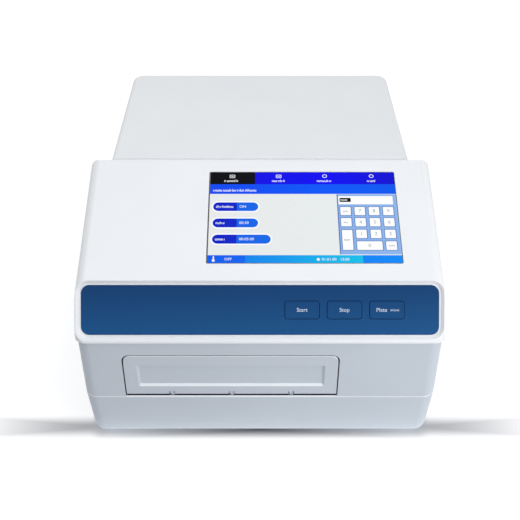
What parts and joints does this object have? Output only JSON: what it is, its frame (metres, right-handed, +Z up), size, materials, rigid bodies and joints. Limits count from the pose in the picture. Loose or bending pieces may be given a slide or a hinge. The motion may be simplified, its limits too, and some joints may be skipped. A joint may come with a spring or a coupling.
{
  "type": "microplate reader",
  "caption": "Bench microplate reader with sloping touchscreen console, blue button band, drop-down plate door, belt-driven plate carrier and a filter-wheel light path.",
  "frame": {"origin": "centre of the footprint, at the height of the table the feet stand on", "axes": "+Z up, +Y from the front to the rear, the front faces -Y"},
  "size_m": [0.292, 0.314, 0.192],
  "materials": {
    "white_housing": "fine moulded texture",
    "grey_housing": "fine moulded texture",
    "blue_panel": "satin",
    "display_glass": "gloss",
    "dark_plastic": "satin",
    "foot_rubber": "matte",
    "sheet_metal": "satin",
    "machined_metal": "machined",
    "plated_steel": "bright",
    "bronze_bush": "sintered",
    "circuit_board": "solder mask",
    "filter_glass": "gloss",
    "lamp_glass": "gloss",
    "belt_rubber": "matte"
  },
  "bodies": {
    "case": {"base_shell": "grey_housing", "front_cover": "grey_housing", "console_housing": "white_housing", "rear_cover": "white_housing", "rear_panel": "sheet_metal", "feet": "foot_rubber", "button_panel": "blue_panel", "button_board": "circuit_board", "button_switches": "dark_plastic", "display_glass": "display_glass", "display_module": "dark_plastic", "display_bracket": "sheet_metal", "display_board": "circuit_board", "door_hinge_pin": "plated_steel", "chassis_plate": "sheet_metal", "guide_rods": "plated_steel", "rod_supports": "machined_metal", "home_sensor": "dark_plastic", "drive_motor": "dark_plastic", "motor_bracket": "sheet_metal", "idler_bracket": "sheet_metal", "idler_shaft": "plated_steel", "drive_belt": "belt_rubber", "optics_bridge": "machined_metal", "fibre_head": "dark_plastic", "light_guide": "dark_plastic", "detector_block": "dark_plastic", "detector_board": "circuit_board", "heater_plate": "machined_metal", "optics_deck": "sheet_metal", "deck_posts": "plated_steel", "lamp_housing": "sheet_metal", "lamp": "lamp_glass", "condenser": "machined_metal", "filter_motor": "dark_plastic", "filter_bracket": "sheet_metal", "main_board": "circuit_board", "power_supply": "sheet_metal", "fan_frame": "dark_plastic", "fan_guard": "plated_steel", "power_inlet": "dark_plastic", "switch_frame": "dark_plastic", "data_ports": "plated_steel", "case_screws": "plated_steel"},
    "plate_door": {"plate_door": "grey_housing"},
    "plate_carrier": {"plate_carrier": "dark_plastic", "carrier_bushes": "bronze_bush", "belt_clamp": "machined_metal", "plate_spring": "plated_steel", "sensor_flag": "plated_steel"},
    "drive_pulley": {"drive_pulley": "machined_metal"},
    "idler_pulley": {"idler_pulley": "machined_metal"},
    "start_button": {"start_button": "blue_panel"},
    "stop_button": {"stop_button": "blue_panel"},
    "plate_button": {"plate_button": "blue_panel"},
    "filter_wheel": {"filter_wheel": "machined_metal", "filters": "filter_glass"},
    "fan_rotor": {"fan_rotor": "dark_plastic"},
    "switch_rocker": {"switch_rocker": "dark_plastic"}
  },
  "joints": [
    {"name": "carrier_slide", "type": "slide", "parent": "case", "child": "plate_carrier", "axis": [0, -1, 0], "range_m": [0, 0.212]},
    {"name": "door_hinge", "type": "hinge", "parent": "case", "child": "plate_door", "pos_m": [-0.0236, -0.1518, 0.0512], "axis": [1, 0, 0], "range_deg": [0, 90]},
    {"name": "drive_pulley_spin", "type": "hinge", "parent": "case", "child": "drive_pulley", "pos_m": [0.0604, 0.123, 0.036], "axis": [1, 0, 0], "range_deg": [0, 1520]},
    {"name": "idler_pulley_spin", "type": "hinge", "parent": "case", "child": "idler_pulley", "pos_m": [0.0604, -0.133, 0.036], "axis": [1, 0, 0], "range_deg": [0, 1520]},
    {"name": "start_press", "type": "slide", "parent": "case", "child": "start_button", "axis": [0, 0.809, -0.5878], "range_m": [0, 0.0008], "stiffness_N_per_m": 800, "springref_m": -0.0006},
    {"name": "stop_press", "type": "slide", "parent": "case", "child": "stop_button", "axis": [0, 0.809, -0.5878], "range_m": [0, 0.0008], "stiffness_N_per_m": 800, "springref_m": -0.0006},
    {"name": "plate_press", "type": "slide", "parent": "case", "child": "plate_button", "axis": [0, 0.809, -0.5878], "range_m": [0, 0.0008], "stiffness_N_per_m": 800, "springref_m": -0.0006},
    {"name": "filter_wheel_spin", "type": "hinge", "parent": "case", "child": "filter_wheel", "pos_m": [0.005, 0.055, 0.14], "axis": [0, 1, 0], "continuous": true},
    {"name": "fan_spin", "type": "hinge", "parent": "case", "child": "fan_rotor", "pos_m": [-0.07, 0.143, 0.118], "axis": [0, 1, 0], "continuous": true},
    {"name": "switch_tilt", "type": "hinge", "parent": "case", "child": "switch_rocker", "pos_m": [0.072, 0.1497, 0.116], "axis": [0, 0, 1], "range_deg": [0, 18]}
  ],
  "couplings": [
    {"joint": "door_hinge", "follows": "carrier_slide", "rad_per_m": 7.4093},
    {"joint": "drive_pulley_spin", "follows": "carrier_slide", "rad_per_m": 125},
    {"joint": "idler_pulley_spin", "follows": "carrier_slide", "rad_per_m": 125}
  ]
}
